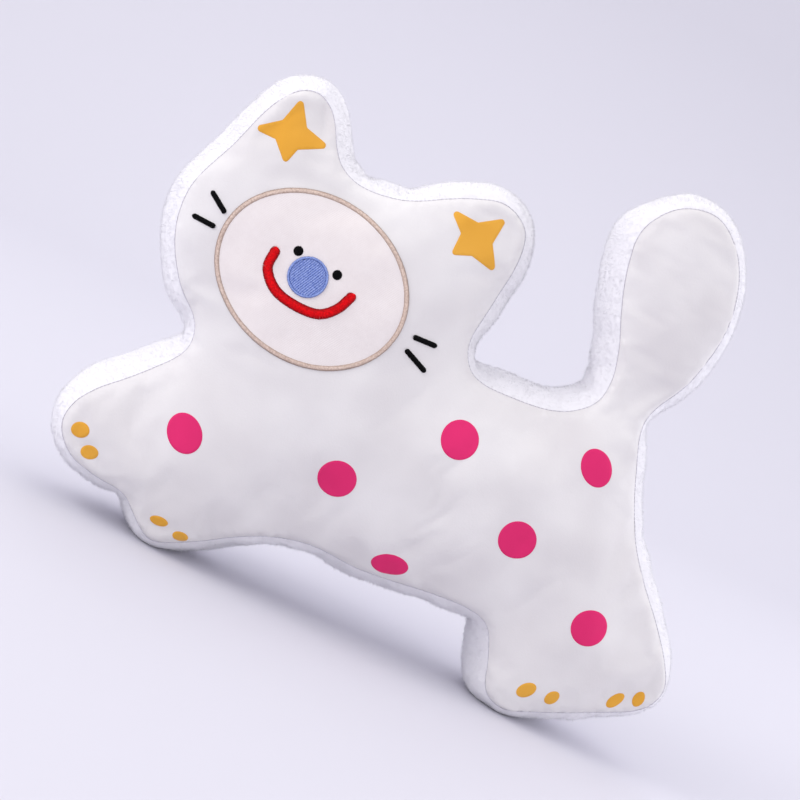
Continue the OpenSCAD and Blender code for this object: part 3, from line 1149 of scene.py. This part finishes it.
# %% Velvet
def velvet(name, colour, stroked, sheen):
    """Short-nap velvet: cloudy where stroked, pale at its rim, with a very fine grain."""
    material, tree, place = new_material(name)
    cloud = add_node(tree, "ShaderNodeTexNoise",
                     {"Scale": per_mm(55), "Detail": 2.0, "Roughness": 0.45}, {"Vector": place})
    grain = add_node(tree, "ShaderNodeTexNoise",
                     {"Scale": per_mm(1.3), "Detail": 2.0, "Roughness": 0.6}, {"Vector": place})
    shade = add_node(tree, "ShaderNodeValToRGB", {"stops": [(0.3, stroked), (0.7, colour)]},
                     {"Fac": cloud.outputs["Fac"]})
    bump = add_node(tree, "ShaderNodeBump", {"Strength": 0.25, "Distance": 0.4 * MM},
                    {"Height": grain.outputs["Fac"]})
    shader = add_node(tree, "ShaderNodeBsdfPrincipled",
                      {"Roughness": 0.9, "Sheen Weight": sheen, "Sheen Roughness": 0.35,
                       "Specular IOR Level": 0.2},
                      {"Base Color": shade.outputs["Color"], "Normal": bump.outputs["Normal"]})
    finish_material(tree, shader)
    return material


wear([front_panel], velvet("short_nap_velvet", "#E7E5E5", "#DBD8D9", 0.3))
wear(magenta_pieces, velvet("velvet_dyed_magenta", "#E33071", "#D62A69", 0.25))
wear(amber_pieces, velvet("velvet_dyed_amber", "#E8AD46", "#DDA038", 0.25))

# %% [markdown]
# Plush looks whiter and softer than velvet: light goes into the long pile and comes out of it
# again. The ground and the hairs are nearly one colour, so that no hair stands out alone.

# %% Plush
def plush_ground():
    """The knitted ground of the plush, bumped where the pile parts, with painted shade darkening its
    low spots.
    """
    material, tree, place = new_material("white_plush_ground")
    pile_parting_and_shade = add_node(tree, "ShaderNodeTexNoise",
                      {"Scale": per_mm(2.5), "Detail": 4.0, "Roughness": 0.6}, {"Vector": place})
    # painted shade: the ground's colour is darker where the noise is low, in the hollows of its own
    # bump
    shade = add_node(tree, "ShaderNodeValToRGB", {"stops": [(0, "#EAE9ED"), (1, "#F1F0F4")]},
                     {"Fac": pile_parting_and_shade.outputs["Fac"]})
    bump = add_node(tree, "ShaderNodeBump", {"Strength": 0.35, "Distance": 0.5 * MM},
                    {"Height": pile_parting_and_shade.outputs["Fac"]})
    shader = add_node(tree, "ShaderNodeBsdfPrincipled",
                      {"Roughness": 1.0, "Sheen Weight": 0.2, "Sheen Roughness": 0.5,
                       "Specular IOR Level": 0.1},
                      {"Base Color": shade.outputs["Color"], "Normal": bump.outputs["Normal"]})
    finish_material(tree, shader)
    return material


def plush_fibre():
    """The hairs: white polyester, quite matt."""
    material, tree, _ = new_material("white_plush_fibre")
    shader = add_node(tree, "ShaderNodeBsdfPrincipled",
                      {"Base Color": linear("#F2F1F5"), "Roughness": 1.0,
                       "Specular IOR Level": 0.1}, {})
    finish_material(tree, shader)
    return material


wear([back_panel, upper_strip, lower_strip], plush_ground())
wear(pile_pieces, plush_fibre())

# %% [markdown]
# The patch is a brushed knit: finer than velvet and matt, with the faint rows of its stitches
# just visible. Knit rows are about half a millimetre apart, and these are drawn at 1.1 mm, as
# coarse as they need to be to show. The filling and the sheet behind the face are loose fibre.

# %% Brushed knit, stabiliser, fibre
KNIT_ROW_MM = 1.1
BANDS_PER_UNIT = 3.2     # a wave texture has this many bands in a unit at scale 1


def brushed_knit():
    """Pale pink brushed knit with faint rows and a soft mottle."""
    material, tree, place = new_material("brushed_pink_knit")
    rows = add_node(tree, "ShaderNodeTexWave",
                    {"Scale": per_mm(KNIT_ROW_MM) / BANDS_PER_UNIT, "Distortion": 3.0, "Detail": 2.0,
                     "bands_direction": "Z"}, {"Vector": place})
    mottle = add_node(tree, "ShaderNodeTexNoise",
                      {"Scale": per_mm(9), "Detail": 5.0, "Roughness": 0.65}, {"Vector": place})
    shade = add_node(tree, "ShaderNodeValToRGB", {"stops": [(0, "#E1D9D8"), (1, "#ECE6E5")]},
                     {"Fac": mottle.outputs["Fac"]})
    bump = add_node(tree, "ShaderNodeBump", {"Strength": 0.2, "Distance": 0.3 * MM},
                    {"Height": rows.outputs["Fac"]})
    shader = add_node(tree, "ShaderNodeBsdfPrincipled",
                      {"Roughness": 0.85, "Sheen Weight": 0.3, "Specular IOR Level": 0.25},
                      {"Base Color": shade.outputs["Color"], "Normal": bump.outputs["Normal"]})
    finish_material(tree, shader)
    return material


def loose_fibre(name, colour, blob_mm, depth_mm):
    """Matted white fibre: a felt or a filling, lumpy at the size of its blobs."""
    material, tree, place = new_material(name)
    lumps = add_node(tree, "ShaderNodeTexNoise",
                     {"Scale": per_mm(blob_mm), "Detail": 6.0, "Roughness": 0.7}, {"Vector": place})
    bump = add_node(tree, "ShaderNodeBump", {"Strength": 0.6, "Distance": depth_mm * MM},
                    {"Height": lumps.outputs["Fac"]})
    shader = add_node(tree, "ShaderNodeBsdfPrincipled",
                      {"Base Color": linear(colour), "Roughness": 0.95, "Sheen Weight": 0.3},
                      {"Normal": bump.outputs["Normal"]})
    finish_material(tree, shader)
    return material


wear([face_patch], brushed_knit())
wear([filling], loose_fibre("polyester_fibre_filling", "#F7F6F4", 8, 2))
wear([backing], loose_fibre("non_woven_stabiliser", "#F2F1F0", 2, 0.3))

# %% [markdown]
# Embroidery thread is trilobal rayon or polyester: smooth, so it has a bright highlight that
# runs across the stitches. Sewing thread is spun and matt. Dye takes a little unevenly from
# stitch to stitch. Each thread is also painted darker towards its ends, as painted shade where
# it dives into its needle hole, which draws a fine dark line along both edges of a row of satin.

# %% Threads' materials
def thread_material(name, crest, needle_hole_shade, roughness, gloss):
    """Thread of one colour: its full colour on the crest, with painted shade darkening it towards
    the needle holes.
    """
    material, tree, place = new_material(name)
    uneven = add_node(tree, "ShaderNodeTexNoise",
                      {"Scale": per_mm(1.4), "Detail": 3.0, "Roughness": 0.7}, {"Vector": place})
    height = add_node(tree, "ShaderNodeAttribute", {"attribute_name": "crest"}, {})
    lit = add_node(tree, "ShaderNodeMath", {"operation": "MULTIPLY"},
                   {0: height.outputs["Fac"], 1: uneven.outputs["Fac"]})
    # painted shade: where the crest share is low, towards a thread's ends, the colour falls to the
    # darker hole colour; the noise adds uneven dye
    shade = add_node(tree, "ShaderNodeValToRGB", {"stops": [(0.12, needle_hole_shade), (0.62, crest)]},
                     {"Fac": lit.outputs["Value"]})
    shader = add_node(tree, "ShaderNodeBsdfPrincipled",
                      {"Roughness": roughness, "Specular IOR Level": gloss},
                      {"Base Color": shade.outputs["Color"]})
    finish_material(tree, shader)
    return material


# the second colour of each thread is painted shade at its needle holes
wear([border], thread_material("tan_rayon_thread", "#EBD7C9", "#987B6B", 0.4, 0.7))
wear([nose_rim], thread_material("blue_rayon_thread_satin", "#9AB0E8", "#4863AE", 0.4, 0.5))
wear([nose_fill], thread_material("blue_rayon_thread_fill", "#A4B7EC", "#4261B4", 0.45, 0.5))
wear([smile], thread_material("red_rayon_thread", "#F20814", "#8C010A", 0.5, 0.12))
wear(whiskers + eyes, thread_material("black_rayon_thread", "#07070A", "#020203", 0.55, 0.08))
wear(seam_threads, thread_material("spun_polyester_seam_thread", "#DBD9E0", "#B9B6C2", 0.8, 0.3))

# %% [markdown]
# A pale floor runs up behind the cushion in one curve, so there is no horizon.

# %% Floor
STUDIO_WIDTH = 20.0
FLOOR_FRONT = -10.0
WALL_BACK = 3.0
SWEEP = 1.5
SWEEP_POINTS = 24
WALL_HIGH = 5.0


def sweep_profile():
    """The studio's floor and wall in section, as (y, z) points."""
    arc = [(WALL_BACK - SWEEP + SWEEP * math.sin(t), SWEEP - SWEEP * math.cos(t))
           for t in np.linspace(0, math.pi / 2, SWEEP_POINTS)]
    return [(FLOOR_FRONT, 0.0)] + arc + [(WALL_BACK, WALL_HIGH)]


profile = sweep_profile()
studio_points = [(x, y, z) for x in (-STUDIO_WIDTH / 2, STUDIO_WIDTH / 2) for y, z in profile]
studio_faces = [(k, k + len(profile), k + len(profile) + 1, k + 1) for k in range(len(profile) - 1)]
studio = mesh_object("studio_floor", studio_points, studio_faces)
studio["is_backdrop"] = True


def matt_paper():
    """The paper of the studio's floor: matt, very faintly cool."""
    material, tree, place = new_material("pale_studio_paper")
    tooth = add_node(tree, "ShaderNodeTexNoise", {"Scale": per_mm(3), "Detail": 3.0},
                     {"Vector": place})
    bump = add_node(tree, "ShaderNodeBump", {"Strength": 0.05, "Distance": 0.2 * MM},
                    {"Height": tooth.outputs["Fac"]})
    shader = add_node(tree, "ShaderNodeBsdfPrincipled",
                      {"Base Color": linear("#D6D5DE"), "Roughness": 0.95},
                      {"Normal": bump.outputs["Normal"]})
    finish_material(tree, shader)
    return material


wear([studio], matt_paper())

# %% [markdown]
# Three large soft lamps and a bright room light the cushion evenly, as a window and white walls
# do. The key lamp on the left is the strongest, so the band is brightest there.

# %% Light
ROOM_STRENGTH = 1.07
AIM = (0.0, 0.0, 0.2)


def softbox(name, place, size, power, colour):
    """A square soft lamp that faces the cushion."""
    data = bpy.data.lights.new(name, "AREA")
    data.size = size
    data.energy = power
    data.color = linear(colour)[:3]
    lamp = bpy.data.objects.new(name, data)
    lamp.location = place
    lamp.rotation_mode = "QUATERNION"
    lamp.rotation_quaternion = (Vector(AIM) - Vector(place)).to_track_quat("-Z", "Y")
    bpy.context.scene.collection.objects.link(lamp)
    print(name, "of", power, "W")


softbox("key_light", (-2.0, -0.8, 1.4), 1.4, 22, "#FFFEFC")
softbox("side_light", (2.1, 0.1, 0.9), 1.6, 15, "#FBFBFF")
softbox("back_light", (0.1, 1.6, 2.0), 1.6, 10, "#FFFFFF")

world = bpy.data.worlds.new("soft_room")
world.use_nodes = True
room = world.node_tree.nodes["Background"]
room.inputs["Color"].default_value = linear("#F4F2F7")
room.inputs["Strength"].default_value = ROOM_STRENGTH
bpy.context.scene.world = world
bpy.context.scene.view_settings.view_transform = "Standard"

# %% [markdown]
# Last, the model is measured: the fabric may stand a little proud of the frame's box, but the
# cushion's size is the frame's.

visual_low, visual_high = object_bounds()
for side, low, high in zip("xyz", visual_low - cad_low, visual_high - cad_high):
    print(side, "grew by", round(-low / MM, 1), "and", round(high / MM, 1), "mm")
